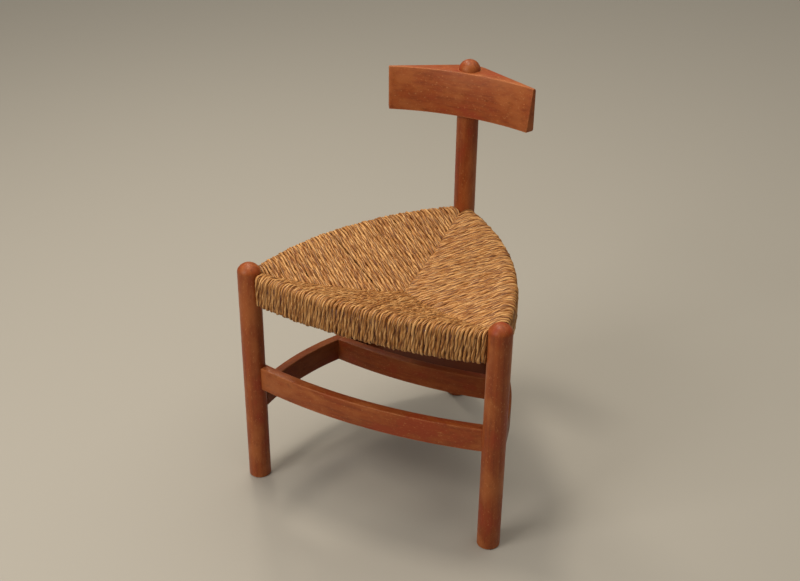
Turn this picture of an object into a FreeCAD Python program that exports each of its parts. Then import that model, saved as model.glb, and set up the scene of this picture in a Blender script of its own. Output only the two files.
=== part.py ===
import FreeCAD, Part
import math
import os

V = FreeCAD.Vector

# Corner chair with three turned legs, bowed stretchers, a shelf, a dished rush seat and a
# headrest-like back board on the long rear post. Millimetres, +Z up, front towards -Y.
# Everything is drawn with the two front leg axes on Y = 0 and moved at the end, so that
# the origin is on the floor under the middle of the chair.

# Three legs
LEG_SPACING = 470.0
LEG_DEPTH = 420.3
LEG_DIAMETER = 41.0
FRONT_LEG_HEIGHT = 455.0
FRONT_CROWN_RISE = 16.5
FRONT_CROWN_SHOULDER = 12.0
REAR_POST_HEIGHT = 732.0
FOOT_CHAMFER = 1.5

# A curved board's blank runs this far into each leg before it is cut round the leg
BLANK_RUN_IN = 15.0

# Lower stretchers, sawn to a curve from flat boards
STRETCHER_HEIGHT = 46.0
STRETCHER_THICKNESS = 17.0
STRETCHER_CHAMFER = 1.2
LOWER_STRETCHER_Z = 154.0
FRONT_STRETCHER_BOW = 24.5
SIDE_STRETCHER_BOW = 55.0
CROSS_STRETCHER_Y = 201.0
CROSS_STRETCHER_RADIUS = 900.0

# Joints between the boards and the round legs
TENON_THICKNESS = 10.0
TENON_DEPTH = 16.5
TENON_SHOULDER = 5.0
TENON_ROOT = 3.0
TENON_MITRE_GAP = 0.5
CROSS_TENON_THICKNESS = 8.0
CROSS_TENON_DEPTH = 9.0
CROSS_TENON_SHOULDER = 13.0
MORTISE_CLEARANCE = 0.1
MORTISE_END_GAP = 0.5
MEETING_GAP = 0.2

# Shelf with a tongue round it, let into rebates along the lower inner edges of three stretchers
SHELF_THICKNESS = 12.0
SHELF_TONGUE_THICKNESS = 6.0
SHELF_TONGUE_WIDTH = 4.0
SHELF_CLEARANCE = 0.2

# Seat rails, which the rush hides
RAIL_HEIGHT = 42.0
RAIL_THICKNESS = 17.0
RAIL_CHAMFER = 4.0
RAIL_Z = 387.0
FRONT_RAIL_BOW = 24.5
SIDE_RAIL_BOW = 45.0

# Rush seat: how thick the rush lies over, under and outside the rails, then its own forms
RUSH_OVER_RAIL = 9.0
RUSH_UNDER_RAIL = 10.0
RUSH_BESIDE_RAIL = 6.5
RUSH_TOP_ROUNDING = 13.0
RUSH_BOTTOM_ROUNDING = 9.0
SEAT_CENTRE_Y = 140.0
SEAT_DIP = 52.0
MITRE_STEEPNESS = 1.6
MITRE_START = 12.0
UNDERSIDE_SAG = 8.0
UNDERSIDE_RADIUS = 120.0
UNDERSIDE_MIDDLE_RADIUS = 25.0
RUSH_CLEARANCE = 0.3

# Back board
BOARD_HEIGHT = 80.0
BOARD_Z = 633.0
BOARD_HALF_WIDTH = 145.0
BOARD_END_SETBACK = 43.3
BOARD_REAR_WALL = 8.0
BOARD_FRONT_WALL = 3.8
BOARD_NOSE_RADIUS = 53.0
BOARD_HOLLOW_RADIUS = 420.0
BOARD_LEAN = 12.0
BOARD_CHAMFER = 0.8
BOARD_BORE_CLEARANCE = 0.1

# Plan positions worked out from the sizes above
LEG_RADIUS = LEG_DIAMETER / 2
LEFT = V(-LEG_SPACING / 2, 0, 0)
RIGHT = V(LEG_SPACING / 2, 0, 0)
REAR = V(0, LEG_DEPTH, 0)
SEAT_CENTRE = V(0, SEAT_CENTRE_Y, 0)
FRONT_STRETCHER_Z = LOWER_STRETCHER_Z + STRETCHER_HEIGHT
SEAT_CREST_Z = RAIL_Z + RAIL_HEIGHT + RUSH_OVER_RAIL
SKIRT_Z = RAIL_Z - RUSH_UNDER_RAIL
RUSH_OVERHANG = RAIL_THICKNESS / 2 + RUSH_BESIDE_RAIL
BOARD_NOSE_Y = LEG_DEPTH + LEG_RADIUS + BOARD_REAR_WALL
SEAT_FRONT_Y = -(FRONT_RAIL_BOW + RUSH_OVERHANG)
MIDDLE_Y = (SEAT_FRONT_Y + BOARD_NOSE_Y) / 2
FAR = 600.0
UP = V(0, 0, 1)

# How far a cut runs past the face that it opens, and how close counts as equal
CUT_OVERRUN = 1.0
TOLERANCE = 0.01


class Bow:
    """Centre line of a board bowed outwards between two legs, named anticlockwise."""

    def __init__(self, first, second, bow):
        self.first = first
        self.second = second
        span = second - first
        self.length = span.Length
        self.along = span / self.length
        self.outward = V(self.along.y, -self.along.x, 0)
        self.bow = bow
        half = self.length / 2 - LEG_RADIUS
        self.radius = (half ** 2 + bow ** 2) / (2 * bow)
        self.centre = (first + second) / 2 - self.outward * (self.radius - bow)
        self.half_angle = math.asin(half / self.radius)

    def height_at(self, distance):
        """How far the centre line stands out from the line between the leg axes."""
        from_middle = distance - self.length / 2
        return math.sqrt(self.radius ** 2 - from_middle ** 2) - (self.radius - self.bow)

    def point(self, offset, angle):
        """A point on the line moved outwards by offset, at an angle from the bow's top."""
        reach = self.radius + offset
        out, across = reach * math.cos(angle), reach * math.sin(angle)
        return self.centre + self.outward * out + self.along * across

    def arc(self, offset, angle):
        ends = [self.point(offset, a) for a in (-angle, 0, angle)]
        return Part.Arc(*ends).toShape()

    def board(self, thickness, z, height, chamfer):
        """The curved board, long enough to run into both legs."""
        angle = self.half_angle + BLANK_RUN_IN / self.radius
        half = thickness / 2
        outer = self.arc(half, angle)
        inner = self.arc(-half, angle)
        first_end = Part.makeLine(self.point(-half, -angle), self.point(half, -angle))
        second_end = Part.makeLine(self.point(-half, angle), self.point(half, angle))
        outline = Part.Wire(Part.__sortEdges__([outer, second_end, inner, first_end]))
        board = at_height(Part.Face(outline), z).extrude(UP * height)
        long_edges = [e for e in board.Edges if e.Length > self.length / 2]
        return board.makeChamfer(chamfer, long_edges)

    def disc(self, offset, z, height):
        """Everything on the seat's side of the line moved outwards by offset."""
        return Part.makeCylinder(self.radius + offset, height, at(self.centre, z))


def at(point, z):
    return V(point.x, point.y, z)


def at_height(shape, z):
    moved = shape.copy()
    moved.translate(V(0, 0, z))
    return moved


def prism(points, z, height):
    outline = Part.makePolygon([at(p, z) for p in points + points[:1]])
    return Part.Face(outline).extrude(UP * height)


def leg_cylinder(position, height, clearance=0.0):
    return Part.makeCylinder(LEG_RADIUS + clearance, height, at(position, 0))


def fused(shapes):
    return shapes[0].multiFuse(shapes[1:]).removeSplitter()


def solid_of(shape):
    solids = sorted(shape.Solids, key=lambda s: s.Volume)
    return solids[-1]


# Tenons and mortises

def tenon_corners(leg, away, towards, thickness, tip, mitre_gap):
    """Plan of a tenon that points at the leg's axis. Where a second tenon comes in beside
    it at the same height, both are mitred on the plane between them."""
    half = thickness / 2
    root = LEG_RADIUS + TENON_ROOT
    side = V(-away.y, away.x, 0)
    if towards and side.dot(towards) < 0:
        side = side * -1
    corners = [(root, -half), (tip, -half), (tip, half), (root, half)]
    if towards and mitre_gap is not None:
        half_angle = math.acos(away.dot(towards)) / 2
        set_back = mitre_gap / math.cos(half_angle)
        tip_width = tip * math.tan(half_angle) - set_back
        if tip_width < half:
            mitre_end = (half + set_back) / math.tan(half_angle)
            corners = [(root, -half), (tip, -half), (tip, tip_width), (mitre_end, half), (root, half)]
    return [leg + away * along + side * across for along, across in corners]


def tenon(leg, away, towards, z, height):
    tip = LEG_RADIUS - TENON_DEPTH
    corners = tenon_corners(leg, away, towards, TENON_THICKNESS, tip, TENON_MITRE_GAP)
    return prism(corners, z + TENON_SHOULDER, height - 2 * TENON_SHOULDER)


def mortise(leg, away, z, height):
    tip = LEG_RADIUS - TENON_DEPTH - MORTISE_END_GAP
    corners = tenon_corners(leg, away, None, TENON_THICKNESS + 2 * MORTISE_CLEARANCE, tip, None)
    bottom = z + TENON_SHOULDER - MORTISE_CLEARANCE
    return prism(corners, bottom, height - 2 * TENON_SHOULDER + 2 * MORTISE_CLEARANCE)


# The three sides of each level, anticlockwise: front, right, left
front_stretcher_line = Bow(LEFT, RIGHT, FRONT_STRETCHER_BOW)
right_stretcher_line = Bow(RIGHT, REAR, SIDE_STRETCHER_BOW)
left_stretcher_line = Bow(REAR, LEFT, SIDE_STRETCHER_BOW)
front_rail_line = Bow(LEFT, RIGHT, FRONT_RAIL_BOW)
right_rail_line = Bow(RIGHT, REAR, SIDE_RAIL_BOW)
left_rail_line = Bow(REAR, LEFT, SIDE_RAIL_BOW)

LEG_TO_LEG = front_stretcher_line.along
REAR_TO_LEFT = left_stretcher_line.along
RIGHT_TO_REAR = right_stretcher_line.along


# Legs and post

def turned(height, rise, shoulder):
    """A round leg with a chamfered foot and a crown. The crown is one quarter circle, or a
    shoulder arc that runs smoothly into a flatter arc over the top."""
    r = LEG_RADIUS
    spring = height - rise
    diagonal = math.sqrt(0.5)
    base = Part.makeLine(V(0, 0, 0), V(r - FOOT_CHAMFER, 0, 0))
    foot = Part.makeLine(V(r - FOOT_CHAMFER, 0, 0), V(r, 0, FOOT_CHAMFER))
    side = Part.makeLine(V(r, 0, FOOT_CHAMFER), V(r, 0, spring))
    if rise - shoulder < TOLERANCE:
        middle = V(r * diagonal, 0, spring + r * diagonal)
        crown = [Part.Arc(V(r, 0, spring), middle, V(0, 0, height)).toShape()]
    else:
        top_radius = ((r - shoulder) ** 2 + rise ** 2 - shoulder ** 2) / (2 * (rise - shoulder))
        shoulder_centre = V(r - shoulder, 0, spring)
        top_centre = V(0, 0, height - top_radius)
        lean = math.atan2(shoulder_centre.z - top_centre.z, shoulder_centre.x)
        joint = shoulder_centre + V(math.cos(lean), 0, math.sin(lean)) * shoulder
        mid_shoulder = shoulder_centre + V(math.cos(lean / 2), 0, math.sin(lean / 2)) * shoulder
        half_lean = (lean + math.pi / 2) / 2
        mid_top = top_centre + V(math.cos(half_lean), 0, math.sin(half_lean)) * top_radius
        crown = [Part.Arc(V(r, 0, spring), mid_shoulder, joint).toShape(),
                 Part.Arc(joint, mid_top, V(0, 0, height)).toShape()]
    axis = Part.makeLine(V(0, 0, height), V(0, 0, 0))
    profile = Part.Face(Part.Wire([base, foot, side] + crown + [axis]))
    return profile.revolve(V(0, 0, 0), UP, 360)


def front_leg(position, side_away, front_away):
    """side_away and front_away point from this leg along its side and front boards."""
    leg = turned(FRONT_LEG_HEIGHT, FRONT_CROWN_RISE, FRONT_CROWN_SHOULDER)
    leg.translate(position)
    mortises = [mortise(position, front_away, FRONT_STRETCHER_Z, STRETCHER_HEIGHT),
                mortise(position, side_away, LOWER_STRETCHER_Z, STRETCHER_HEIGHT),
                mortise(position, front_away, RAIL_Z, RAIL_HEIGHT),
                mortise(position, side_away, RAIL_Z, RAIL_HEIGHT)]
    return leg.cut(mortises)


def rear_post():
    post = turned(REAR_POST_HEIGHT, LEG_RADIUS, LEG_RADIUS)
    post.translate(REAR)
    mortises = []
    for away in (REAR_TO_LEFT, RIGHT_TO_REAR * -1):
        mortises.append(mortise(REAR, away, LOWER_STRETCHER_Z, STRETCHER_HEIGHT))
        mortises.append(mortise(REAR, away, RAIL_Z, RAIL_HEIGHT))
    return post.cut(mortises)


# Curved boards between the legs

def neighbours_side(leg, away, towards):
    """What a board leaves to its neighbour at a leg: all beyond a gap on this side of the
    upright plane halfway between the two. away and towards point along the two boards."""
    halfway = (away + towards).normalize()
    inwards = V(-halfway.y, halfway.x, 0)
    if inwards.dot(away) < 0:
        inwards = inwards * -1
    face = leg + inwards * MEETING_GAP
    corners = [face - halfway * FAR, face + halfway * FAR]
    corners += [p - inwards * FAR for p in reversed(corners)]
    return prism(corners, 0, FAR)


def leg_to_leg_board(line, thickness, z, height, chamfer, mitred):
    """A bowed board with a tenon at each end. mitred maps a leg to the direction of the
    board that enters it at the same height."""
    board = line.board(thickness, z, height, chamfer)
    cutters = [leg_cylinder(line.first, FAR), leg_cylinder(line.second, FAR)]
    tenons = []
    for leg, away in ((line.first, line.along), (line.second, line.along * -1)):
        towards = mitred.get(name_of(leg))
        tenons.append(tenon(leg, away, towards, z, height))
        if towards:
            cutters.append(neighbours_side(leg, away, towards))
    return fused([solid_of(board.cut(cutters))] + tenons)


def name_of(leg):
    return "rear" if leg is REAR else "left" if leg is LEFT else "right"


def seat_rail(line):
    directions = {
        "left": {front_rail_line: REAR_TO_LEFT * -1, left_rail_line: LEG_TO_LEG},
        "right": {front_rail_line: RIGHT_TO_REAR, right_rail_line: LEG_TO_LEG * -1},
        "rear": {left_rail_line: RIGHT_TO_REAR * -1, right_rail_line: REAR_TO_LEFT},
    }
    mitred = {leg: pairs[line] for leg, pairs in directions.items() if line in pairs}
    return leg_to_leg_board(line, RAIL_THICKNESS, RAIL_Z, RAIL_HEIGHT, RAIL_CHAMFER, mitred)


def side_stretcher(line, neighbour):
    board = leg_to_leg_board(line, STRETCHER_THICKNESS, LOWER_STRETCHER_Z, STRETCHER_HEIGHT,
                             STRETCHER_CHAMFER, {"rear": neighbour})
    return solid_of(board.cut([shelf_rebate(), cross_tenon(MORTISE_CLEARANCE, MORTISE_END_GAP)]))


def front_stretcher():
    return leg_to_leg_board(front_stretcher_line, STRETCHER_THICKNESS, FRONT_STRETCHER_Z,
                            STRETCHER_HEIGHT, STRETCHER_CHAMFER, {})


# Cross stretcher and shelf

def between_side_stretchers(offset, z, height):
    """The space between the two side stretchers' inner faces, moved outwards by offset."""
    inner_face = offset - STRETCHER_THICKNESS / 2
    return left_stretcher_line.disc(inner_face, z, height).common(
        right_stretcher_line.disc(inner_face, z, height))


def cross_band(thickness, z, height):
    """A band along the cross stretcher's curve, which bows to the front."""
    centre = V(0, CROSS_STRETCHER_Y + CROSS_STRETCHER_RADIUS, z)
    outer = Part.makeCylinder(CROSS_STRETCHER_RADIUS + thickness / 2, height, centre)
    inner = Part.makeCylinder(CROSS_STRETCHER_RADIUS - thickness / 2, height, centre)
    reach = Part.makeBox(LEG_SPACING, LEG_DEPTH, height, V(-LEG_SPACING / 2, 0, z))
    return outer.cut(inner).common(reach)


def cross_tenon(clearance, end_gap):
    z = LOWER_STRETCHER_Z + CROSS_TENON_SHOULDER - clearance
    height = STRETCHER_HEIGHT - 2 * CROSS_TENON_SHOULDER + 2 * clearance
    band = cross_band(CROSS_TENON_THICKNESS + 2 * clearance, z, height)
    return band.common(between_side_stretchers(CROSS_TENON_DEPTH + end_gap, z, height))


def cross_stretcher():
    board = cross_band(STRETCHER_THICKNESS, LOWER_STRETCHER_Z, STRETCHER_HEIGHT)
    long_edges = [e for e in board.Edges if e.Length > LEG_SPACING / 2]
    board = board.makeChamfer(STRETCHER_CHAMFER, long_edges)
    board = board.common(between_side_stretchers(0, LOWER_STRETCHER_Z, STRETCHER_HEIGHT))
    return solid_of(fused([board.cut(shelf_rebate()), cross_tenon(0, 0)]))


def shelf_outline(growth, z, height):
    """The space behind the cross stretcher and between the side ones, grown all round."""
    inside = between_side_stretchers(growth, z, height)
    centre = V(0, CROSS_STRETCHER_Y + CROSS_STRETCHER_RADIUS, z)
    edge_radius = CROSS_STRETCHER_RADIUS - STRETCHER_THICKNESS / 2 + growth
    behind = Part.makeCylinder(edge_radius, height, centre)
    return inside.common(behind)


def shelf_rebate():
    bottom = LOWER_STRETCHER_Z - CUT_OVERRUN
    height = CUT_OVERRUN + SHELF_TONGUE_THICKNESS + SHELF_CLEARANCE
    return shelf_outline(SHELF_TONGUE_WIDTH + SHELF_CLEARANCE, bottom, height)


def shelf_panel():
    tongue = shelf_outline(SHELF_TONGUE_WIDTH, LOWER_STRETCHER_Z, SHELF_TONGUE_THICKNESS)
    field = shelf_outline(-SHELF_CLEARANCE, LOWER_STRETCHER_Z, SHELF_THICKNESS)
    shelf = fused([tongue, field])
    return solid_of(shelf.cut(leg_cylinder(REAR, FAR, SHELF_CLEARANCE)))


# Rush seat

def rounded_disc(line):
    """One side of the seat's outline as a great disc with the rolled edge on its rim."""
    disc = line.disc(RUSH_OVERHANG, SKIRT_Z, SEAT_CREST_Z - SKIRT_Z)
    for z, rounding in ((SEAT_CREST_Z, RUSH_TOP_ROUNDING), (SKIRT_Z, RUSH_BOTTOM_ROUNDING)):
        circles = [e for e in disc.Edges if isinstance(e.Curve, Part.Circle)]
        rim = [e for e in circles if abs(e.Curve.Center.z - z) < TOLERANCE]
        disc = disc.makeFillet(rounding, rim)
    return disc


def mitre_height(share):
    """Height of the valley between two sides, from 0 at a leg to 1 at the seat's centre."""
    return SEAT_CREST_Z - SEAT_DIP * (1 - (1 - share) ** MITRE_STEEPNESS)


def dish_half(corner, line, steps=8):
    """The space over half of one side. Each strand of rush runs straight from the roll
    over the rail down to the mitre, square to the side."""
    mitre = SEAT_CENTRE - corner
    first_share = MITRE_START / mitre.Length
    shares = [first_share + (1 - first_share) * i / steps for i in range(steps + 1)]
    crest = []
    valley = []
    for share in shares:
        foot = corner + mitre * share
        distance = (foot - line.first).dot(line.along)
        on_line = line.first + line.along * distance + line.outward * line.height_at(distance)
        crest.append(at(on_line, SEAT_CREST_Z))
        valley.append(at(foot, mitre_height(share)))
    curves = []
    for points in (crest, valley):
        curve = Part.BSplineCurve()
        curve.interpolate(Points=points, Parameters=shares)
        curves.append(curve.toShape())
    clear_height = 2 * SEAT_DIP
    return Part.makeRuledSurface(*curves).extrude(UP * clear_height)


def rush_seat():
    rail_lines = [front_rail_line, right_rail_line, left_rail_line]
    discs = [rounded_disc(line) for line in rail_lines]
    pad = discs[0].common(discs[1]).common(discs[2])
    pad = pad.fuse(Part.makeCone(UNDERSIDE_MIDDLE_RADIUS, UNDERSIDE_RADIUS, UNDERSIDE_SAG,
                                 at(SEAT_CENTRE, SKIRT_Z - UNDERSIDE_SAG)))
    dish = fused([dish_half(corner, line) for line in rail_lines for corner in (line.first, line.second)])
    pad = pad.cut(dish)
    room_thickness = RAIL_THICKNESS + 2 * RUSH_CLEARANCE
    room_height = RAIL_HEIGHT + 2 * RUSH_CLEARANCE
    rails = [line.board(room_thickness, RAIL_Z - RUSH_CLEARANCE, room_height, RAIL_CHAMFER)
             for line in rail_lines]
    legs = [leg_cylinder(p, REAR_POST_HEIGHT, RUSH_CLEARANCE) for p in (LEFT, RIGHT, REAR)]
    return solid_of(pad.cut(rails + legs))


# Back board

def board_outline():
    """Plan of the board: two straight back slopes that run into a round nose behind the
    post, and ends cut square to the slopes."""
    nose_centre = V(0, BOARD_NOSE_Y - BOARD_NOSE_RADIUS, 0)
    end = V(BOARD_HALF_WIDTH, LEG_DEPTH - BOARD_END_SETBACK, 0)
    to_nose = nose_centre - end
    angle = math.atan2(to_nose.y, to_nose.x) - math.asin(BOARD_NOSE_RADIUS / to_nose.Length)
    slope = V(math.cos(angle), math.sin(angle), 0)
    touch = end + slope * math.sqrt(to_nose.Length ** 2 - BOARD_NOSE_RADIUS ** 2)
    front = end + V(-slope.y, slope.x, 0) * LEG_DIAMETER
    right = [front, end, touch]
    left = [V(-p.x, p.y, 0) for p in right]
    nose = Part.Arc(right[2], V(0, BOARD_NOSE_Y, 0), left[2]).toShape()
    edges = [Part.makeLine(right[0], right[1]), Part.makeLine(right[1], right[2]), nose,
             Part.makeLine(left[2], left[1]), Part.makeLine(left[1], left[0]),
             Part.makeLine(left[0], right[0])]
    return Part.Face(Part.Wire(edges))


def backrest_board():
    slab = at_height(board_outline(), BOARD_Z).extrude(UP * BOARD_HEIGHT)
    top_front_y = LEG_DEPTH - LEG_RADIUS - BOARD_FRONT_WALL
    lean = V(0, BOARD_LEAN, BOARD_HEIGHT)
    overrun = lean * (CUT_OVERRUN / BOARD_HEIGHT)
    hollow_centre = V(0, top_front_y - BOARD_HOLLOW_RADIUS, BOARD_Z + BOARD_HEIGHT) - lean - overrun
    circle = Part.makeCircle(BOARD_HOLLOW_RADIUS, hollow_centre)
    hollow = Part.Face(Part.Wire(circle)).extrude(lean + overrun * 2)
    board = solid_of(slab.cut(hollow))
    board = board.makeChamfer(BOARD_CHAMFER, board.Edges)
    bore = Part.makeCylinder(LEG_RADIUS + BOARD_BORE_CLEARANCE, REAR_POST_HEIGHT, REAR)
    return solid_of(board.cut(bore))


def build():
    return {
        "leg_front_left": front_leg(LEFT, REAR_TO_LEFT * -1, LEG_TO_LEG),
        "leg_front_right": front_leg(RIGHT, RIGHT_TO_REAR, LEG_TO_LEG * -1),
        "rear_post": rear_post(),
        "seat_rail_front": seat_rail(front_rail_line),
        "seat_rail_left": seat_rail(left_rail_line),
        "seat_rail_right": seat_rail(right_rail_line),
        "stretcher_front": front_stretcher(),
        "stretcher_left": side_stretcher(left_stretcher_line, RIGHT_TO_REAR * -1),
        "stretcher_right": side_stretcher(right_stretcher_line, REAR_TO_LEFT),
        "stretcher_cross": cross_stretcher(),
        "shelf_panel": shelf_panel(),
        "backrest_board": backrest_board(),
        "rush_seat": rush_seat(),
    }


os.makedirs("parts", exist_ok=True)
for node, shape in build().items():
    shape.translate(V(0, -MIDDLE_Y, 0))
    shape.exportStep("parts/" + node + ".step")
    print(node, "valid", shape.isValid(), "solids", len(shape.Solids), "volume", round(shape.Volume))
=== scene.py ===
import math
import random

import bmesh
import bpy
import numpy as np
from mathutils import Matrix, Vector


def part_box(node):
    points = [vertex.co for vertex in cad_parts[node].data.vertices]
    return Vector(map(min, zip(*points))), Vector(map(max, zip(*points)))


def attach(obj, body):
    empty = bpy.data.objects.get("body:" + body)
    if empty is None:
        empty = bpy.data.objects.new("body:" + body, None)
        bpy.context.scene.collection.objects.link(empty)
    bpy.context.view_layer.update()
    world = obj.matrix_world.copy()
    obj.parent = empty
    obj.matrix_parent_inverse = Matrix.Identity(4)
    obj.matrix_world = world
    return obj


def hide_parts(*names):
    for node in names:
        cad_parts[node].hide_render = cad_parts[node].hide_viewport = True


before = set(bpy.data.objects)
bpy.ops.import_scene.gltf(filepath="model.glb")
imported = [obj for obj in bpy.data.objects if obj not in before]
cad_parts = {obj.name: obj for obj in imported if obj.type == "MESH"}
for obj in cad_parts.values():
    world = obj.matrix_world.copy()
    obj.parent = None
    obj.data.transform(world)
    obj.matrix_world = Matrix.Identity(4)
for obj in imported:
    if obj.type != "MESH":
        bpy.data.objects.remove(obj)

bl_info = {
    "name": "Corner chair with a rush seat",
    "version": (1, 0, 0),
    "blender": (4, 5, 0),
    "location": "3D View > Sidebar > Corner chair",
    "description": "Turned legs, bowed stretchers, a hollowed back board and a seat of wound rush",
    "category": "Object",
}

# Metres throughout, +Z up, front towards -Y.

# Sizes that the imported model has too, but doesn't give as a box
BOARD_THICKNESS = 0.017
CROSS_RADIUS = 0.900
SEAT_CENTRE_BEHIND = 0.140
SEAT_DIP = 0.052
MITRE_STEEPNESS = 1.6
UNDERSIDE_SAG = 0.008
BACK_END_SETBACK = 0.0433
BACK_NOSE_RADIUS = 0.053
BACK_HOLLOW_RADIUS = 0.420
BACK_FRONT_WALL = 0.0038
BACK_LEAN = 0.012

# Places nearer to each other than this count as one
SAME_PLACE = 0.0001
# Corners of loose triangles nearer than this are joined up
JOIN_WITHIN = 0.00002
# Room that a cut leaves round the piece it is made for
CLEARANCE = 0.0001

SEED = 11


def reach(node, direction):
    """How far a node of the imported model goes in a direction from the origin."""
    return max(v.co.dot(direction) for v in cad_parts[node].data.vertices)


def axis_of(node):
    """Where an upright round piece stands on the floor."""
    low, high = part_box(node)
    return Vector(((low.x + high.x) / 2, (low.y + high.y) / 2, 0))


def top_of(node):
    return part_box(node)[1].z


SEAT_LOW, SEAT_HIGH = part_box("rush_seat")
LEFT = axis_of("leg_front_left")
RIGHT = axis_of("leg_front_right")
REAR = axis_of("rear_post")
LEG_RADIUS = reach("rear_post", Vector((1, 0, 0))) - REAR.x
SEAT_CENTRE = (LEFT + RIGHT) / 2 + Vector((0, SEAT_CENTRE_BEHIND, 0))


class Bow:
    """The centre line of a board that bows outwards between two legs, read from a node.
    The legs are named anticlockwise, so that outwards is on the right hand."""

    def __init__(self, node, first, second):
        self.node = node
        self.first = first
        span = second - first
        self.length = span.length
        self.along = span / self.length
        self.outward = Vector((self.along.y, -self.along.x, 0))
        self.bow = reach(node, self.outward) - first.dot(self.outward) - BOARD_THICKNESS / 2
        half = self.length / 2 - LEG_RADIUS
        self.radius = (half ** 2 + self.bow ** 2) / (2 * self.bow)
        self.centre = (first + second) / 2 - self.outward * (self.radius - self.bow)
        self.half_angle = math.asin(half / self.radius)
        self.reach = first.dot(self.outward) + self.bow + BOARD_THICKNESS / 2

    def height_at(self, distance):
        """How far the line stands out from the straight line between the leg axes."""
        from_middle = distance - self.length / 2
        return math.sqrt(self.radius ** 2 - from_middle ** 2) - (self.radius - self.bow)


def bows(kind):
    """The bowed boards of a kind on the three sides of the chair."""
    return [Bow(kind + "_front", LEFT, RIGHT), Bow(kind + "_right", RIGHT, REAR),
            Bow(kind + "_left", REAR, LEFT)]


# Colours and finishes

def linear(hex_colour):
    """An sRGB hex colour as the linear red, green and blue that shaders take."""
    channels = [int(hex_colour[i:i + 2], 16) / 255 for i in (1, 3, 5)]
    return [c / 12.92 if c <= 0.04045 else ((c + 0.055) / 1.055) ** 2.4 for c in channels]


def colour(name, description, hex_colour):
    return bpy.props.FloatVectorProperty(name=name, description=description, subtype="COLOR",
                                         size=3, min=0, max=1, default=linear(hex_colour))


def length(name, description, default):
    return bpy.props.FloatProperty(name=name, description=description, subtype="DISTANCE",
                                   unit="LENGTH", default=default, precision=4)


def add_node(tree, kind, inputs=(), **settings):
    """Adds a node, sets it up, and links or fills its inputs, which are a dictionary by name
    or number, or else a list in their order."""
    node = tree.nodes.new(kind)
    for name, value in settings.items():
        setattr(node, name, value)
    named = inputs if isinstance(inputs, dict) else dict(enumerate(inputs))
    for socket, value in named.items():
        if isinstance(value, bpy.types.NodeSocket):
            tree.links.new(value, node.inputs[socket])
        else:
            node.inputs[socket].default_value = value
    return node


def opaque(rgb):
    return (*rgb, 1)


def new_material(name):
    """An empty node material and its shader, already linked to the output."""
    material = bpy.data.materials.new(name)
    material.use_nodes = True
    tree = material.node_tree
    tree.nodes.clear()
    shader = add_node(tree, "ShaderNodeBsdfPrincipled")
    add_node(tree, "ShaderNodeOutputMaterial", {"Surface": shader.outputs["BSDF"]})
    return material, tree, shader


def streaks(tree, vector, long, wide, detail, roughness, rotation=(0, 0, 0), location=(0, 0, 0)):
    """A pattern of streaks of a real length and width, on axes turned and moved as given."""
    measured = add_node(tree, "ShaderNodeMapping", {
        "Vector": vector, "Location": location, "Rotation": rotation, "Scale": (long, wide, wide)},
        vector_type="TEXTURE")
    return add_node(tree, "ShaderNodeTexNoise", {
        "Vector": measured.outputs["Vector"], "Scale": 1.0, "Detail": detail,
        "Roughness": roughness}).outputs["Fac"]


def coated(tree, tone, layers):
    """Lays colours over a tone one after another. Each layer is its pattern, the values of
    the pattern at which the colour starts and is at its fullest, how full that is, and the
    colour."""
    for pattern, starts, fullest, most, tint in layers:
        share = add_node(tree, "ShaderNodeMapRange", [pattern, starts, fullest, 0, most],
                         interpolation_type="SMOOTHSTEP").outputs["Result"]
        tone = add_node(tree, "ShaderNodeMix", {0: share, 6: tone, 7: opaque(tint)},
                        data_type="RGBA").outputs[2]
    return tone


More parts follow.
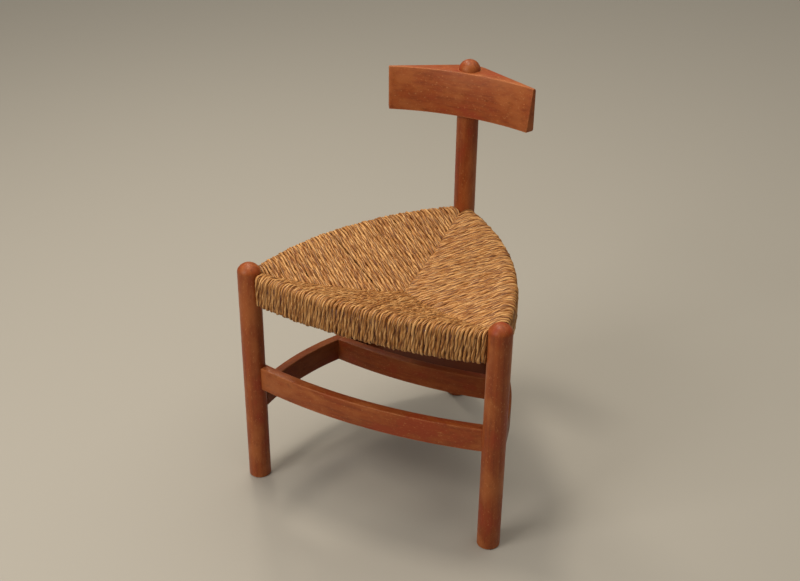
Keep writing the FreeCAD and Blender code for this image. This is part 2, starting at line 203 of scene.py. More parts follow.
def stained_beech(name, colours, grain_turn, place, shade=0.0, shine=0.28):
    """Turned and sawn beech under a red-brown stain and a thin worn varnish: a soft shine,
    streaks of tone along the grain, the short flecks that beech shows, a paler wear along
    edges that also stands for a painted highlight there, pale scuffs and small knocks, and
    painted shade over the whole in the share given. Beech has an IOR near 1.5, and a worn
    satin varnish a roughness of about 0.4."""
    material, tree, shader = new_material(name)
    position = add_node(tree, "ShaderNodeTexCoord").outputs["Object"]
    grain = {"rotation": grain_turn, "location": place}
    # Growth rings show as bands some 6 mm wide, which run the length of the wood
    rings = streaks(tree, position, 0.160, 0.006, 4, 0.6, **grain)
    # Beech flecks are 2 to 3 mm long and are drawn twice as large, so that they show
    flecks = streaks(tree, position, 0.006, 0.0007, 2, 0.6, **grain)
    # Stain wears in patches a hand wide, and dirt gathers in patches a finger wide
    patches = streaks(tree, position, 0.090, 0.050, 3, 0.6, **grain)
    smudges = streaks(tree, position, 0.016, 0.009, 5, 0.7, **grain)
    # Use leaves pale scuffs, some 6 mm long and 2 mm wide
    scuffs = streaks(tree, position, 0.006, 0.0024, 4, 0.65, **grain)
    # Knocks are 1 to 4 mm across and 9 to 15 mm apart
    knock_cells = add_node(tree, "ShaderNodeMapping", {
        "Vector": position, "Location": place, "Rotation": grain_turn,
        "Scale": (0.015, 0.009, 0.009)}, vector_type="TEXTURE")
    knocks = add_node(tree, "ShaderNodeTexVoronoi", {
        "Vector": knock_cells.outputs["Vector"], "Scale": 1.0, "Randomness": 1.0}).outputs["Distance"]
    knock_rim, knock_middle = 0.13, 0.06

    # An edge is worn pale where the surface turns within 2.2 mm, in spots a finger wide; the paleness
    # also stands for a painted highlight along the edge
    surface = add_node(tree, "ShaderNodeNewGeometry").outputs["True Normal"]
    rounded = add_node(tree, "ShaderNodeBevel", {"Radius": 0.0022}, samples=6).outputs[0]
    flatness = add_node(tree, "ShaderNodeVectorMath", [rounded, surface],
                        operation="DOT_PRODUCT").outputs["Value"]
    edge = add_node(tree, "ShaderNodeMapRange", [flatness, 0.997, 0.93],
                    interpolation_type="SMOOTHSTEP").outputs["Result"]
    spots = add_node(tree, "ShaderNodeMapRange", [smudges, 0.32, 0.52],
                     interpolation_type="SMOOTHSTEP").outputs["Result"]
    rubbed_and_highlit = add_node(tree, "ShaderNodeMath", [edge, spots], operation="MULTIPLY").outputs[0]

    tone = coated(tree, opaque(colours.wood_deep), [
        (rings, 0.25, 0.65, 1, colours.wood),
        (patches, 0.48, 0.34, 0.70, colours.wood_red),
        (patches, 0.46, 0.66, 0.80, colours.wood_worn),
        (smudges, 0.46, 0.28, 0.28, colours.wood_dirt_and_shade),
        (flecks, 0.62, 0.74, 0.22, colours.wood_dirt_and_shade),
        (scuffs, 0.56, 0.72, 0.42, colours.wood_bare_and_highlight),
        (knocks, knock_rim, knock_middle, 0.45, colours.wood_bare_and_highlight)])
    bared_and_highlit = add_node(tree, "ShaderNodeMath", [rubbed_and_highlit, 0.75], operation="MULTIPLY").outputs[0]
    # After the pale edges, painted shade is laid over the whole in the share given
    for share, tint in ((bared_and_highlit, colours.wood_bare_and_highlight), (shade, colours.wood_dirt_and_shade)):
        tone = add_node(tree, "ShaderNodeMix", {0: share, 6: tone, 7: opaque(tint)},
                        data_type="RGBA").outputs[2]
    tree.links.new(tone, shader.inputs["Base Color"])

    varnish = add_node(tree, "ShaderNodeMapRange", [smudges, 0.35, 0.65, 0.36, 0.52],
                       interpolation_type="SMOOTHSTEP").outputs["Result"]
    dullness = add_node(tree, "ShaderNodeMath", [rubbed_and_highlit, 0.15, varnish], operation="MULTIPLY_ADD")
    tree.links.new(dullness.outputs[0], shader.inputs["Roughness"])
    dents = add_node(tree, "ShaderNodeMapRange", [knocks, knock_rim, knock_middle],
                     interpolation_type="SMOOTHSTEP").outputs["Result"]
    relief = 0
    for pattern, height in ((flecks, 0.35), (patches, 2.5), (dents, -0.8)):
        relief = add_node(tree, "ShaderNodeMath", [pattern, height, relief],
                          operation="MULTIPLY_ADD").outputs[0]
    bump = add_node(tree, "ShaderNodeBump", {"Height": relief, "Strength": 0.6, "Distance": 0.0003})
    tree.links.new(bump.outputs["Normal"], shader.inputs["Normal"])
    shader.inputs["IOR"].default_value = 1.5
    shader.inputs["Specular IOR Level"].default_value = shine
    return material


def twisted_rush(name, colours, shade=0.0):
    """Dried rush, a few leaves twisted into a strand: straw to brown leaves with fine ribs
    along them and a faint natural gloss, with painted shade where the leaves fold together,
    and painted shade over the whole in the share given. Dry plant fibre has an IOR near 1.5
    and a roughness of about 0.5."""
    material, tree, shader = new_material(name)
    fibre = add_node(tree, "ShaderNodeAttribute", attribute_name="fibre").outputs["Vector"]
    tone_share = add_node(tree, "ShaderNodeAttribute", attribute_name="tone").outputs["Fac"]
    crest = add_node(tree, "ShaderNodeAttribute", attribute_name="crest").outputs["Fac"]
    # The ribs of a leaf are drawn 0.7 mm apart, some three times as coarse as real ones
    ribs = streaks(tree, fibre, 0.030, 0.0007, 3, 0.6)
    # A leaf keeps its colour for 16 mm or so before another comes up beside it
    leaves = streaks(tree, fibre, 0.016, 0.0024, 2, 0.5)
    # Leaves bleach and bruise in marks some 18 mm long
    stains = streaks(tree, fibre, 0.018, 0.0024, 3, 0.6, location=(0.5, 0.2, 0.1))

    tone = coated(tree, opaque(colours.rush_brown), [
        (leaves, 0.34, 0.64, 1, colours.rush),
        (tone_share, 0.55, 1.0, 0.35, colours.rush_pale),
        (tone_share, 0.35, 0.0, 0.30, colours.rush_brown),
        (stains, 0.50, 0.62, 0.95, colours.rush_pale),
        (ribs, 0.50, 0.72, 0.50, colours.rush_pale),
        (ribs, 0.46, 0.28, 0.45, colours.rush_brown),
        (stains, 0.45, 0.33, 0.65, colours.rush_shade_and_bruise),
        # Painted shade darkens the creases where the leaves fold together
        (crest, 0.60, 0.0, 0.9, colours.rush_shade_and_bruise)])
    # The shade share darkens the whole strand as painted shade
    tone = add_node(tree, "ShaderNodeMix", {0: shade, 6: tone, 7: opaque(colours.rush_shade_and_bruise)},
                    data_type="RGBA").outputs[2]
    tree.links.new(tone, shader.inputs["Base Color"])
    gloss = add_node(tree, "ShaderNodeMapRange", [ribs, 0.3, 0.7, 0.58, 0.44],
                     interpolation_type="SMOOTHSTEP")
    tree.links.new(gloss.outputs["Result"], shader.inputs["Roughness"])
    bump = add_node(tree, "ShaderNodeBump", {"Height": ribs, "Strength": 0.7, "Distance": 0.0005})
    tree.links.new(bump.outputs["Normal"], shader.inputs["Normal"])
    shader.inputs["IOR"].default_value = 1.5
    shader.inputs["Specular IOR Level"].default_value = 0.3
    return material


def matt_floor(name, tint):
    """Limewashed floor, matt and even, so that it takes the chair's shadow softly."""
    material, tree, shader = new_material(name)
    shader.inputs["Base Color"].default_value = opaque(tint)
    shader.inputs["Roughness"].default_value = 0.85
    return material


# Modelling helpers

def deselect_all():
    bpy.ops.object.select_all(action="DESELECT")


def name_active(name):
    piece = bpy.context.object
    piece.name = name
    piece.data.name = name
    return piece


def apply_place():
    bpy.ops.object.transform_apply(location=True, rotation=True, scale=True)


def edit(select="SELECT"):
    bpy.ops.object.mode_set(mode="EDIT")
    bpy.ops.mesh.select_all(action=select)


def leave_edit():
    bpy.ops.object.mode_set(mode="OBJECT")


def select_vertices(piece, chosen):
    """Selects, in edit mode, the vertices whose place passes the test, and nothing else."""
    bpy.ops.mesh.select_mode(type="VERT")
    bpy.ops.mesh.select_all(action="DESELECT")
    mesh = bmesh.from_edit_mesh(piece.data)
    for vertex in mesh.verts:
        vertex.select = chosen(vertex.co)
    mesh.select_flush_mode()
    bmesh.update_edit_mesh(piece.data)


def make_active(piece):
    deselect_all()
    piece.select_set(True)
    bpy.context.view_layer.objects.active = piece


def turn_faces_out(piece):
    make_active(piece)
    edit()
    bpy.ops.mesh.remove_doubles(threshold=JOIN_WITHIN)
    bpy.ops.mesh.normals_make_consistent(inside=False)
    leave_edit()


def copy_of(piece, name, shift=(0, 0, 0)):
    """A copy of a piece with a mesh of its own, moved by the shift."""
    twin = piece.copy()
    twin.data = piece.data.copy()
    bpy.context.collection.objects.link(twin)
    make_active(twin)
    bpy.ops.transform.translate(value=shift)
    apply_place()
    return name_active(name)


def cut_away(piece, cutter):
    """Cuts the cutter's shape out of the piece and removes the cutter."""
    make_active(piece)
    cut = piece.modifiers.new("cut", "BOOLEAN")
    cut.operation = "DIFFERENCE"
    cut.solver = "EXACT"
    cut.object = cutter
    bpy.ops.object.modifier_apply(modifier=cut.name)
    bpy.data.objects.remove(cutter)


def round_edges(piece, width):
    """Rounds every edge that turns by more than 30 degrees."""
    make_active(piece)
    bevel = piece.modifiers.new("edges", "BEVEL")
    bevel.width = width
    bevel.segments = 3
    bevel.limit_method = "ANGLE"
    bevel.angle_limit = math.radians(30)
    bpy.ops.object.modifier_apply(modifier=bevel.name)


def smooth(piece, sharp_angle=40):
    """Shades the piece smooth, but for edges that turn by more than the angle in degrees."""
    make_active(piece)
    bpy.ops.object.shade_smooth_by_angle(angle=math.radians(sharp_angle))


def merged_copy(node, name):
    """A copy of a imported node's mesh with its loose triangles joined up."""
    piece = bpy.data.objects.new(name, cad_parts[node].data.copy())
    bpy.context.collection.objects.link(piece)
    piece.data.materials.clear()
    make_active(piece)
    edit()
    bpy.ops.mesh.remove_doubles(threshold=JOIN_WITHIN)
    leave_edit()
    return piece


def swell(piece, distance):
    """Moves every face of the piece outwards, or inwards with a negative distance."""
    make_active(piece)
    edit()
    bpy.ops.transform.shrink_fatten(value=distance, use_even_offset=True)
    leave_edit()


def finished(piece, material, replaced):
    """Puts the material on a finished piece, hangs it under the root, and hides the node that it
    replaces.
    """
    piece.data.materials.clear()
    piece.data.materials.append(material)
    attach(piece, "root")
    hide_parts(replaced)


# Turned legs and post

def crown_profile(top, rise, shoulder, steps=10):
    """The rounded top of a leg from its side to its middle: a shoulder arc, then a flatter
    arc over the top. A shoulder as large as the leg gives a plain half ball."""
    spring = top - rise
    inset = LEG_RADIUS - shoulder
    if inset < SAME_PLACE:
        lean = math.pi / 2
    else:
        top_radius = (inset ** 2 + rise ** 2 - shoulder ** 2) / (2 * (rise - shoulder))
        lean = math.atan2(spring - (top - top_radius), inset)
    profile = []
    for i in range(steps + 1):
        angle = lean * i / steps
        profile.append((inset + shoulder * math.cos(angle), spring + shoulder * math.sin(angle)))
    if inset >= SAME_PLACE:
        for i in range(1, steps + 1):
            angle = lean + (math.pi / 2 - lean) * i / steps
            profile.append((top_radius * math.cos(angle), top - top_radius * (1 - math.sin(angle))))
    return profile


def turned(name, foot, profile, sides=96):
    """Turns a round piece: a disc at the foot is drawn up ring by ring along the profile,
    which is pairs of radius and height. The last ring closes to a point."""
    pole_radius = 0.00001
    deselect_all()
    radius, height = profile[0]
    bpy.ops.mesh.primitive_circle_add(vertices=sides, radius=radius, fill_type="NGON",
                                      location=(foot.x, foot.y, height))
    piece = name_active(name)
    edit()
    for next_radius, next_height in profile[1:]:
        bpy.ops.mesh.extrude_region_move(
            TRANSFORM_OT_translate={"value": (0, 0, next_height - height)})
        next_radius = max(next_radius, pole_radius)
        share = next_radius / radius
        bpy.ops.transform.resize(value=(share, share, 1), center_override=(foot.x, foot.y, next_height))
        radius, height = next_radius, next_height
    bpy.ops.mesh.merge(type="CENTER")
    leave_edit()
    apply_place()
    turn_faces_out(piece)
    smooth(piece)
    return piece


# Bowed boards

def bowed(name, centre, radius, middle, half_angle, bottom, top, edge, steps=72):
    """Saws a board to a curve: a section with rounded corners is swept round the centre,
    from half_angle before the direction of its middle to half_angle after it."""
    deselect_all()
    heading = math.atan2(middle.y, middle.x) - half_angle
    start = centre + Vector((math.cos(heading), math.sin(heading), 0)) * radius
    start.z = (bottom + top) / 2
    bpy.ops.mesh.primitive_plane_add(size=1, location=start, rotation=(math.pi / 2, 0, heading))
    piece = name_active(name)
    piece.scale = (BOARD_THICKNESS, top - bottom, 1)
    apply_place()
    edit()
    bpy.ops.mesh.bevel(offset=edge, segments=3, affect="VERTICES")
    bpy.ops.mesh.spin(steps=steps, angle=2 * half_angle, center=centre, axis=(0, 0, -1))
    leave_edit()
    turn_faces_out(piece)
    smooth(piece)
    return piece


def cut_shelf_groove(piece):
    """Cuts the groove that takes the shelf's tongue."""
    cutter = merged_copy("shelf_panel", "shelf_cutter")
    swell(cutter, CLEARANCE)
    cut_away(piece, cutter)


# Back board

def back_outline(name, nose_centre, end, bottom):
    """The back board's plan: two straight slopes that run into a round nose behind the
    post, and ends square to the slopes."""
    to_nose = nose_centre - end
    slope_turn = math.atan2(to_nose.y, to_nose.x) - math.asin(BACK_NOSE_RADIUS / to_nose.length)
    slope = Vector((math.cos(slope_turn), math.sin(slope_turn), 0))
    touch = end + slope * math.sqrt(to_nose.length ** 2 - BACK_NOSE_RADIUS ** 2)
    front = end + Vector((-slope.y, slope.x, 0)) * 2 * LEG_RADIUS
    across = touch - nose_centre
    nose_turn = 2 * math.atan2(abs(across.x), across.y)

    deselect_all()
    bpy.ops.mesh.primitive_plane_add(size=0.001, location=(0, 0, 0))
    piece = name_active(name)
    edit()
    bpy.ops.mesh.merge(type="CENTER")
    bpy.ops.transform.translate(value=(touch.x, touch.y, bottom))
    bpy.ops.mesh.spin(steps=24, angle=nose_turn, center=(nose_centre.x, nose_centre.y, bottom),
                      axis=(0, 0, -1))
    for side in (1, -1):
        corners = [Vector((side * p.x, p.y, bottom)) for p in (touch, end, front)]
        select_vertices(piece, lambda place: (place - corners[0]).length < SAME_PLACE)
        for before, after in zip(corners, corners[1:]):
            bpy.ops.mesh.extrude_region_move(TRANSFORM_OT_translate={"value": after - before})
    bpy.ops.mesh.select_all(action="SELECT")
    bpy.ops.mesh.edge_face_add()
    leave_edit()
    return piece


def back_board(name, edge, rear_edge):
    """The back board: its plan drawn up to its height, hollowed in front and bored for the
    post."""
    low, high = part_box("backrest_board")
    nose_centre = Vector((REAR.x, high.y - BACK_NOSE_RADIUS, 0))
    end = Vector((high.x, REAR.y - BACK_END_SETBACK, 0))
    piece = back_outline(name, nose_centre, end, low.z)
    edit()
    bpy.ops.mesh.extrude_region_move(TRANSFORM_OT_translate={"value": (0, 0, high.z - low.z)})
    leave_edit()
    turn_faces_out(piece)
    edit()
    for height in (low.z, high.z):
        select_vertices(piece, lambda place: abs(place.z - height) < SAME_PLACE
                        and place.y > end.y - SAME_PLACE)
        bpy.ops.mesh.bevel(offset=rear_edge, segments=4, affect="EDGES", clamp_overlap=True)
    leave_edit()

    # The front face is hollowed on a curve that leans back towards the top
    overrun = 0.010
    lean_per_metre = BACK_LEAN / (high.z - low.z)
    bottom, top = low.z - overrun, high.z + overrun
    hollow_front = REAR.y - LEG_RADIUS - BACK_FRONT_WALL - BACK_HOLLOW_RADIUS
    bottom_y = hollow_front - (high.z - bottom) * lean_per_metre
    deselect_all()
    bpy.ops.mesh.primitive_cylinder_add(vertices=720, radius=BACK_HOLLOW_RADIUS, depth=top - bottom,
                                        location=(0, bottom_y, (bottom + top) / 2))
    hollow = name_active("hollow")
    apply_place()
    edit()
    select_vertices(hollow, lambda place: place.z > (bottom + top) / 2)
    bpy.ops.transform.translate(value=(0, (top - bottom) * lean_per_metre, 0))
    leave_edit()
    cut_away(piece, hollow)
    turn_faces_out(piece)
    round_edges(piece, edge)

    bore_depth = 0.2
    deselect_all()
    bpy.ops.mesh.primitive_cylinder_add(vertices=96, radius=LEG_RADIUS + CLEARANCE, depth=bore_depth,
                                        location=(REAR.x, REAR.y, (low.z + high.z) / 2))
    bore = name_active("bore")
    apply_place()
    cut_away(piece, bore)
    smooth(piece, 30)
    return piece


# Rush seat

# In strand widths: from a strand's middle to its skin, and from a leg to the first strand
SKIN_AT = 0.42
FIRST_AT = 0.45
# How strands differ: their place in pitches, how tightly they turn, how thick they are, and
# how long the waves are in which they stray and where those start
PITCH_SPREAD = 0.12
LAY_SPREAD = (0.8, 1.25)
FULLNESS_SPREAD = (0.95, 1.08)
WAVE_LENGTHS = (0.012, 0.045)
WAVE_STARTS = (0, 6.3)
SKIRT_FULLNESS = 1.10
# How unevenly strands lie at the top and along the skirt, and at the skirt's foot
TOP_UNEVEN = 0.0006
FOOT_UNEVEN = 0.0008


def rounded_run(corners, spacing):
    """Points a steady distance apart along straight runs with rounded corners. Each corner
    is how far out, how far up, and the radius of its rounding, which takes up no more than
    45 % of the runs beside it."""
    longest, steps, fewest_points = 0.45, 8, 8
    path = [Vector(corners[0][:2])]
    for before, here, after in zip(corners, corners[1:], corners[2:]):
        corner = Vector(here[:2])
        back = Vector(before[:2]) - corner
        ahead = Vector(after[:2]) - corner
        turn = math.pi - back.angle(ahead)
        cut = min(here[2] * math.tan(turn / 2), longest * back.length, longest * ahead.length)
        start = corner + back.normalized() * cut
        end = corner + ahead.normalized() * cut
        for i in range(steps + 1):
            share = i / steps
            path.append(start * (1 - share) ** 2 + corner * 2 * share * (1 - share) + end * share ** 2)
    path.append(Vector(corners[-1][:2]))
    points = np.array(path)
    gone = np.concatenate([[0], np.cumsum(np.linalg.norm(np.diff(points, axis=0), axis=1))])
    count = max(fewest_points, round(gone[-1] / spacing))
    stops = np.linspace(0, gone[-1], count + 1)
    return stops, np.interp(stops, gone, points[:, 0]), np.interp(stops, gone, points[:, 1])


def strand_corners(line, overhang, distance, valley_distance, sizes, chance):
    """A strand's way across its rail: up out of the valley between two sides, out over
    the rail, down the outside, and back in underneath to the valley below."""
    inset = sizes.strand_width * SKIN_AT
    to_centre = SEAT_CENTRE - line.first
    centre_distance = to_centre.dot(line.along)
    centre_height = to_centre.dot(line.outward)
    if valley_distance < centre_distance:
        share = valley_distance / centre_distance
    else:
        share = (line.length - valley_distance) / (line.length - centre_distance)
    valley = centre_height * share - sizes.valley_lap
    rail = line.height_at(distance)
    outside = rail + overhang - inset
    crest_z = SEAT_HIGH.z - inset + chance.uniform(-TOP_UNEVEN, TOP_UNEVEN)
    valley_z = crest_z - SEAT_DIP * (1 - (1 - share) ** MITRE_STEEPNESS)
    skirt_z = SEAT_LOW.z + UNDERSIDE_SAG + inset + chance.uniform(-FOOT_UNEVEN, FOOT_UNEVEN)
    sag_z = skirt_z - UNDERSIDE_SAG * share ** 2
    outside += chance.uniform(-TOP_UNEVEN, TOP_UNEVEN)
    return [
        (valley, valley_z - 0.010, 0),  # its end between the sides
        (valley, valley_z, 0.006),  # out of the valley
        (rail - 0.004, crest_z, 0.070),  # the crest over the rail
        (outside, crest_z, 0.0115),  # the skirt's shoulder
        (outside, skirt_z, 0.008),  # the skirt's foot
        (valley, sag_z, 0.005),  # the valley underneath
        (valley, sag_z + 0.007, 0),  # its other end
    ]


def strand_section(width, lobes=3, points_per_lobe=4):
    """The outline of a strand: round leaves side by side, with a crease between each two.
    Returns the places and how near each is to the top of a leaf, from 0 to 1. A crease is
    0.8 times as far from the middle as the top of a leaf."""
    crease = 0.80
    places = []
    crests = []
    for i in range(lobes * points_per_lobe):
        crest = math.sin(math.pi * (i % points_per_lobe) / points_per_lobe)
        angle = 2 * math.pi * i / (lobes * points_per_lobe)
        radius = width / 2 * (crease + (1 - crease) * crest)
        places.append((radius * math.cos(angle), radius * math.sin(angle), 0))
        crests.append(crest)
    return places, crests


def curve_of(name, dimensions):
    curve = bpy.data.curves.new(name, "CURVE")
    curve.dimensions = dimensions
    piece = bpy.data.objects.new(name, curve)
    bpy.context.collection.objects.link(piece)
    return piece


def rush_side(name, line, sizes, seed, lean=0.0):
    """All the strands over one rail. Each is a curve that a lobed section follows, turned
    as it goes, and the whole is then made a mesh. Half way along a rail that the strands
    cross askew, they end by the lean nearer to its first leg than they start."""
    chance = random.Random(seed)
    section = curve_of(name + "_section", "2D")
    places, crests = strand_section(sizes.strand_width)
    outline = section.data.splines.new("POLY")
    outline.points.add(len(places) - 1)
    for point, place in zip(outline.points, places):
        point.co = (*place, 1)
    outline.use_cyclic_u = True

    piece = curve_of(name, "3D")
    piece.data.bevel_mode = "OBJECT"
    piece.data.bevel_object = section
    overhang = reach("rush_seat", line.outward) - line.reach + BOARD_THICKNESS / 2
    first_distance = LEG_RADIUS + sizes.strand_width * FIRST_AT
    count = round((line.length - 2 * first_distance) / sizes.strand_pitch)
    pitch = (line.length - 2 * first_distance) / count
    pattern_step = 0.037
    fibre = []
    tones = []
    for strand in range(count + 1):
        shift = chance.uniform(-PITCH_SPREAD, PITCH_SPREAD) * pitch
        distance = first_distance + pitch * strand + shift
        skew = lean * math.sin(math.pi * distance / line.length)
        corners = strand_corners(line, overhang, distance, distance - skew, sizes, chance)
        rail, valley = line.height_at(distance), corners[0][0]
        stops, outs, ups = rounded_run(corners, sizes.strand_step)
        lay = sizes.strand_lay * chance.uniform(*LAY_SPREAD)
        phase = chance.uniform(0, 2 * math.pi)
        fullness = chance.uniform(*FULLNESS_SPREAD)
        tone = chance.uniform(0, 1)
        waves = [(chance.uniform(*WAVE_LENGTHS), chance.uniform(*WAVE_STARTS)) for _ in range(4)]
        start = chance.uniform(0, 50)
        spline = piece.data.splines.new("POLY")
        spline.points.add(len(stops) - 1)
        for point, stop, out, up in zip(spline.points, stops, outs, ups):
            wave = [math.sin(2 * math.pi * stop / size + turn) for size, turn in waves]
            on_skirt = up < SEAT_HIGH.z - 0.012 and out > rail
            sway = sizes.strand_sway * (wave[0] + 0.6 * wave[1]) / 1.6
            inwards = min(max((rail - out) / (rail - valley), 0), 1)
            place = line.first + line.along * (distance + sway - skew * inwards) + line.outward * out
            point.co = (place.x, place.y, up + sizes.strand_sway * wave[2], 1)
            point.radius = fullness * (1 + 0.08 * wave[3]) * (SKIRT_FULLNESS if on_skirt else 1)
            point.tilt = phase + 2 * math.pi * stop / lay
            fibre.append((start + stop, strand * pattern_step))
            tones.append(tone)

    make_active(piece)
    bpy.ops.object.convert(target="MESH")
    piece = bpy.context.object
    bpy.data.objects.remove(section)
    write_strand_attributes(piece.data, places, crests, fibre, tones)
    edit("DESELECT")
    bpy.ops.mesh.select_non_manifold(extend=False, use_boundary=True, use_wire=False,
                                     use_multi_face=False, use_non_contiguous=False, use_verts=False)
    bpy.ops.mesh.edge_face_add()
    leave_edit()
    make_active(piece)
    edit()
    bpy.ops.mesh.normals_make_consistent(inside=False)
    leave_edit()
    smooth(piece, 80)
    return piece


def write_strand_attributes(mesh, places, crests, fibre, tones):
    """Writes where each point lies on its leaf, for the rush's streaks, the painted shade in its
    creases, and its tones.
    """
    around = np.array(places)[:, :2]
    rings = np.array(fibre)
    if len(mesh.vertices) != len(rings) * len(around):
        raise RuntimeError("the strands have another number of points than their rings")
    vectors = np.zeros((len(rings), len(around), 3))
    vectors[:, :, 0] = rings[:, :1]
    vectors[:, :, 1:] = around[None] + rings[:, 1, None, None]
    for name, kind, field, values in (
            ("fibre", "FLOAT_VECTOR", "vector", vectors.ravel()),
            ("tone", "FLOAT", "value", np.repeat(tones, len(around))),
            ("crest", "FLOAT", "value", np.tile(crests, len(rings)))):
        attribute = mesh.attributes.new(name, kind, "POINT")
        attribute.data.foreach_set(field, values.astype(np.float32))


# What a user would change

class ChairSizes(bpy.types.PropertyGroup):
    foot_chamfer: length("Foot chamfer", "Slope round the foot of each leg", 0.0015)
    front_crown_rise: length("Front crown rise", "Height of the front legs' rounded tops", 0.0165)
    front_crown_shoulder: length("Front crown shoulder", "Radius at the edge of those tops", 0.012)
    board_edge: length("Board edge", "Rounding along the edges of the bowed boards", 0.0014)
    back_edge: length("Back board edge", "Rounding along the back board's edges", 0.0016)
    back_rear_edge: length("Back board rear edge", "Rounding along the back board's rear edges", 0.004)
    run_in: length("Run into legs", "How far the boards go into the legs, out of sight", 0.006)
    strand_pitch: length("Strand pitch", "From one strand of rush to the next", 0.0072)
    strand_width: length("Strand width", "Across a strand's leaves", 0.0078)
    strand_lay: length("Strand lay", "In which a strand makes one turn", 0.120)
    strand_step: length("Strand step", "From one ring of a strand to the next", 0.0034)
    strand_sway: length("Strand sway", "How far a strand strays from its line", 0.0006)
    right_lean: length("Right side's lean", "How far askew strands cross the right rail", 0.035)
    valley_lap: length("Valley lap", "How far strands go past the middle of a valley", 0.0012)
    stuffing_inset: length("Stuffing inset", "How far the stuffing lies inside the strands", 0.0048)


class ChairColours(bpy.types.PropertyGroup):
    wood: colour("Wood", "Stained wood in a plain place", "#9B4D23")
    wood_deep: colour("Deep grain", "Stain in the denser grain", "#823D1C")
    wood_red: colour("Red wood", "Stain that has kept its red", "#94391E")
    wood_worn: colour("Worn wood", "Stain thinned by use", "#A96132")
    # Also the colour of the painted shade laid over the boards under the seat
    wood_dirt_and_shade: colour("Dark wood", "Dirt in the pores and old knocks", "#4A1F0D")
    # On edges this colour is part wear and part a painted highlight; on scuffs and knocks it is wear
    wood_bare_and_highlight: colour("Bare wood", "Edges and knocks rubbed through the stain", "#C98A55")
    rush: colour("Rush", "Most of the leaves", "#B98144")
    rush_pale: colour("Pale rush", "Sun-bleached leaves and ribs", "#DFAF73")
    rush_brown: colour("Brown rush", "Darker leaves", "#905828")
    # Used for the painted shade in the creases and over the stuffing, and for bruises on the leaves
    rush_shade_and_bruise: colour("Rush creases", "Dust where leaves fold together", "#4D240F")
    floor: colour("Floor", "Pale floor", "#ADABA5")


# Operators

class OBJECT_OT_chair_legs(bpy.types.Operator):
    """Turns the two front legs and the long rear post"""
    bl_idname = "object.chair_legs"
    bl_label = "Legs and post"

    def execute(self, context):
        sizes = context.scene.chair_sizes
        colours = context.scene.chair_colours
        foot = [(LEG_RADIUS - sizes.foot_chamfer, 0), (LEG_RADIUS, sizes.foot_chamfer)]
        front_crown = crown_profile(top_of("leg_front_left"), sizes.front_crown_rise,
                                    sizes.front_crown_shoulder)
        post_crown = crown_profile(top_of("rear_post"), LEG_RADIUS, LEG_RADIUS)
        left = turned("leg_front_left_turned", LEFT, foot + front_crown)
        right = copy_of(left, "leg_front_right_turned", RIGHT - LEFT)
        post = turned("rear_post_turned", REAR, foot + post_crown)
        upright = (0, math.pi / 2, 0)
        for number, (node, piece) in enumerate((
                ("leg_front_left", left), ("leg_front_right", right), ("rear_post", post))):
            material = stained_beech("stained beech, " + node, colours, upright,
                                     (0.3 * number, 0.11, 0.07))
            finished(piece, material, node)
        return {"FINISHED"}


class OBJECT_OT_chair_stretchers(bpy.types.Operator):
    """Saws the four bowed stretchers and cuts the shelf's groove into three of them"""
    bl_idname = "object.chair_stretchers"
    bl_label = "Stretchers"

    def execute(self, context):
        sizes = context.scene.chair_sizes
        colours = context.scene.chair_colours
        cutters = []
        for number, line in enumerate(bows("stretcher")):
            low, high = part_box(line.node)
            half_angle = line.half_angle + sizes.run_in / line.radius
            piece = bowed(line.node + "_sawn", line.centre, line.radius, line.outward, half_angle,
                          low.z, high.z, sizes.board_edge)
            if line.node != "stretcher_front":
                cutters.append(copy_of(piece, line.node + "_cutter"))
                cut_shelf_groove(piece)
            grain = (0, 0, math.atan2(line.along.y, line.along.x))
            # Under the seat, painted shade makes the boards darker, and they are given a duller finish
            # than the front one
            under_seat_shade = {} if line.node == "stretcher_front" else {"shade": 0.5, "shine": 0.15}
            material = stained_beech("stained beech, " + line.node, colours, grain,
                                     (0.21 * number, 0.3, 0.1), **under_seat_shade)
            finished(piece, material, line.node)
        low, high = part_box("stretcher_cross")
        centre = Vector((0, low.y + BOARD_THICKNESS / 2 + CROSS_RADIUS, 0))
        half_angle = math.asin(high.x / CROSS_RADIUS)
        piece = bowed("stretcher_cross_sawn", centre, CROSS_RADIUS, Vector((0, -1, 0)), half_angle,
                      low.z, high.z, sizes.board_edge)
        for cutter in cutters:
            cut_away(piece, cutter)
        cut_shelf_groove(piece)
        # The cross stretcher, deep under the seat, is darkened with painted shade
        material = stained_beech("stained beech, stretcher_cross", colours, (0, 0, 0), (0.5, 0.2, 0.3),
                                 shade=0.3, shine=0.15)
        finished(piece, material, "stretcher_cross")
        return {"FINISHED"}


class OBJECT_OT_chair_flat_boards(bpy.types.Operator):
    """Finishes the shelf and the seat rails, whose shapes are right as they are"""
    bl_idname = "object.chair_flat_boards"
    bl_label = "Shelf and rails"

    def execute(self, context):
        colours = context.scene.chair_colours
        # The shelf lies in the seat's shadow, and painted shade darkens it almost to black
        dark = stained_beech("stained beech in painted shade, shelf", colours, (0, 0, 0), (0.1, 0.6, 0.2),
                             shade=0.9, shine=0.1)
        plain = stained_beech("stained beech, rails", colours, (0, 0, 0), (0.4, 0.4, 0.2))
        for node, material in (("shelf_panel", dark), ("seat_rail_front", plain),
                               ("seat_rail_left", plain), ("seat_rail_right", plain)):
            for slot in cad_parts[node].material_slots:
                slot.material = material
        return {"FINISHED"}


class OBJECT_OT_chair_back_board(bpy.types.Operator):
    """Saws, hollows and bores the back board"""
    bl_idname = "object.chair_back_board"
    bl_label = "Back board"

    def execute(self, context):
        sizes = context.scene.chair_sizes
        piece = back_board("backrest_board_hollowed", sizes.back_edge, sizes.back_rear_edge)
        material = stained_beech("stained beech, back board", context.scene.chair_colours,
                                 (0, 0, 0), (0.2, 0.5, 0.4))
        finished(piece, material, "backrest_board")
        return {"FINISHED"}


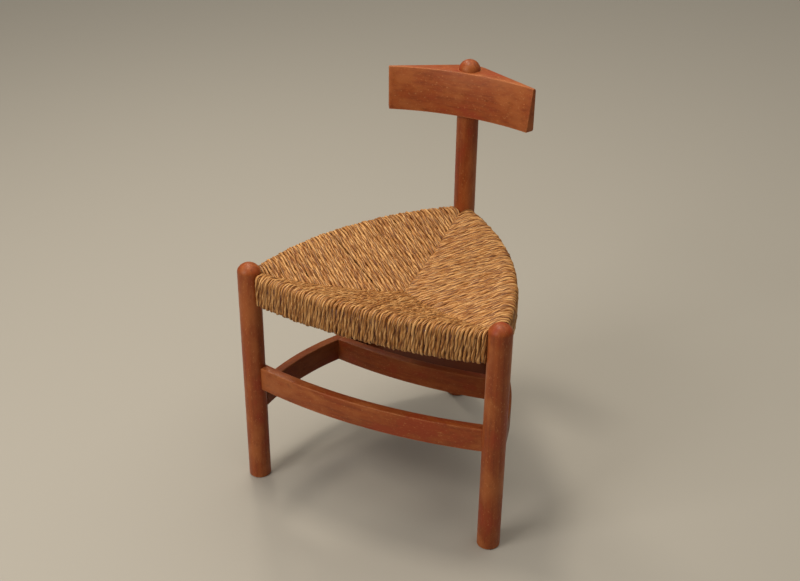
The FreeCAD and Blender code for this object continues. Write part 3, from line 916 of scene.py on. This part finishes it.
class OBJECT_OT_chair_rush(bpy.types.Operator):
    """Winds the rush over the three rails and stuffs the seat"""
    bl_idname = "object.chair_rush"
    bl_label = "Rush seat"

    def execute(self, context):
        sizes = context.scene.chair_sizes
        colours = context.scene.chair_colours
        material = twisted_rush("twisted rush", colours)
        for number, line in enumerate(bows("seat_rail")):
            name = "rush_" + line.node.rsplit("_", 1)[1]
            lean = sizes.right_lean if name == "rush_right" else 0
            finished(rush_side(name, line, sizes, SEED + number, lean), material, "rush_seat")
        stuffing = merged_copy("rush_seat", "rush_stuffing")
        swell(stuffing, -sizes.stuffing_inset)
        # The stuffing, seen only through gaps between the strands, is darkened with painted shade
        finished(stuffing, twisted_rush("rush stuffing", colours, shade=0.55), "rush_seat")
        return {"FINISHED"}


class OBJECT_OT_chair_stage(bpy.types.Operator):
    """Sets the floor, the lamps and the camera"""
    bl_idname = "object.chair_stage"
    bl_label = "Floor, lamps and camera"

    def execute(self, context):
        scene = context.scene
        room_width = 30
        deselect_all()
        bpy.ops.mesh.primitive_plane_add(size=room_width, location=(0, 0, 0))
        floor = name_active("floor")
        floor.data.materials.append(matt_floor("limewashed floor", scene.chair_colours.floor))
        lamp("lamp_ceiling", (0, 1.0, 6.5), 9.0, 330, "#FFF3E0")
        lamp("lamp_overhead", (-0.45, 0.0, 2.7), 0.35, 16, "#FFF1DC")
        lamp("lamp_high_left", (-1.3, 1.2, 2.3), 0.35, 11, "#FFF1DC")
        lamp("lamp_front", (-1.1, -2.1, 1.9), 1.2, 35, "#FFF4E6")
        world = bpy.data.worlds.new("soft_room")
        scene.world = world
        world.use_nodes = True
        background = world.node_tree.nodes["Background"]
        background.inputs["Color"].default_value = opaque(linear("#F2EDE4"))
        seen = add_node(world.node_tree, "ShaderNodeLightPath").outputs["Is Camera Ray"]
        room_light, seen_light = 0.14, 0.60
        strength = add_node(world.node_tree, "ShaderNodeMapRange", [seen, 0, 1, room_light, seen_light])
        world.node_tree.links.new(strength.outputs["Result"], background.inputs["Strength"])
        scene.view_settings.view_transform = "Standard"
        scene.camera = photo_camera()
        return {"FINISHED"}


def lamp(name, location, size, power, tint):
    """A square lamp that points at the seat."""
    bpy.ops.object.light_add(type="AREA", location=location)
    light = bpy.context.object
    light.name = name
    light.data.size = size
    light.data.energy = power
    light.data.color = linear(tint)
    seat_middle = Vector((0, 0, 0.35))
    towards = seat_middle - Vector(location)
    light.rotation_euler = towards.to_track_quat("-Z", "Y").to_euler()


def photo_camera():
    """The camera where the photograph was taken from, as its leg lines and boards show."""
    yaw, pitch, roll = 0.4290, 0.5125, 0.0119
    bpy.ops.object.camera_add(location=(0.764598, -1.753201, 1.430004))
    camera = bpy.context.object
    camera.name = "photo_camera"
    turn = Matrix.Rotation(yaw, 4, "Z") @ Matrix.Rotation(math.pi / 2 - pitch, 4, "X")
    camera.rotation_euler = (turn @ Matrix.Rotation(roll, 4, "Z")).to_euler()
    camera.data.sensor_width = 36
    camera.data.lens = 53.44
    return camera


class VIEW3D_PT_corner_chair(bpy.types.Panel):
    bl_label = "Corner chair"
    bl_space_type = "VIEW_3D"
    bl_region_type = "UI"
    bl_category = "Corner chair"

    def draw(self, context):
        for operator in OPERATORS:
            self.layout.operator(operator.bl_idname)
        for group in (context.scene.chair_sizes, context.scene.chair_colours):
            for name in group.__annotations__:
                self.layout.prop(group, name)


OPERATORS = [OBJECT_OT_chair_stage, OBJECT_OT_chair_legs, OBJECT_OT_chair_stretchers,
             OBJECT_OT_chair_flat_boards, OBJECT_OT_chair_back_board, OBJECT_OT_chair_rush]
CLASSES = [ChairSizes, ChairColours, *OPERATORS, VIEW3D_PT_corner_chair]


def register():
    for new_class in CLASSES:
        bpy.utils.register_class(new_class)
    bpy.types.Scene.chair_sizes = bpy.props.PointerProperty(type=ChairSizes)
    bpy.types.Scene.chair_colours = bpy.props.PointerProperty(type=ChairColours)


def unregister():
    del bpy.types.Scene.chair_colours
    del bpy.types.Scene.chair_sizes
    for old_class in reversed(CLASSES):
        bpy.utils.unregister_class(old_class)


def main():
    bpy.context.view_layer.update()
    register()
    for operator in OPERATORS:
        getattr(bpy.ops.object, operator.bl_idname.split(".")[1])()


if __name__ == "__main__":
    main()
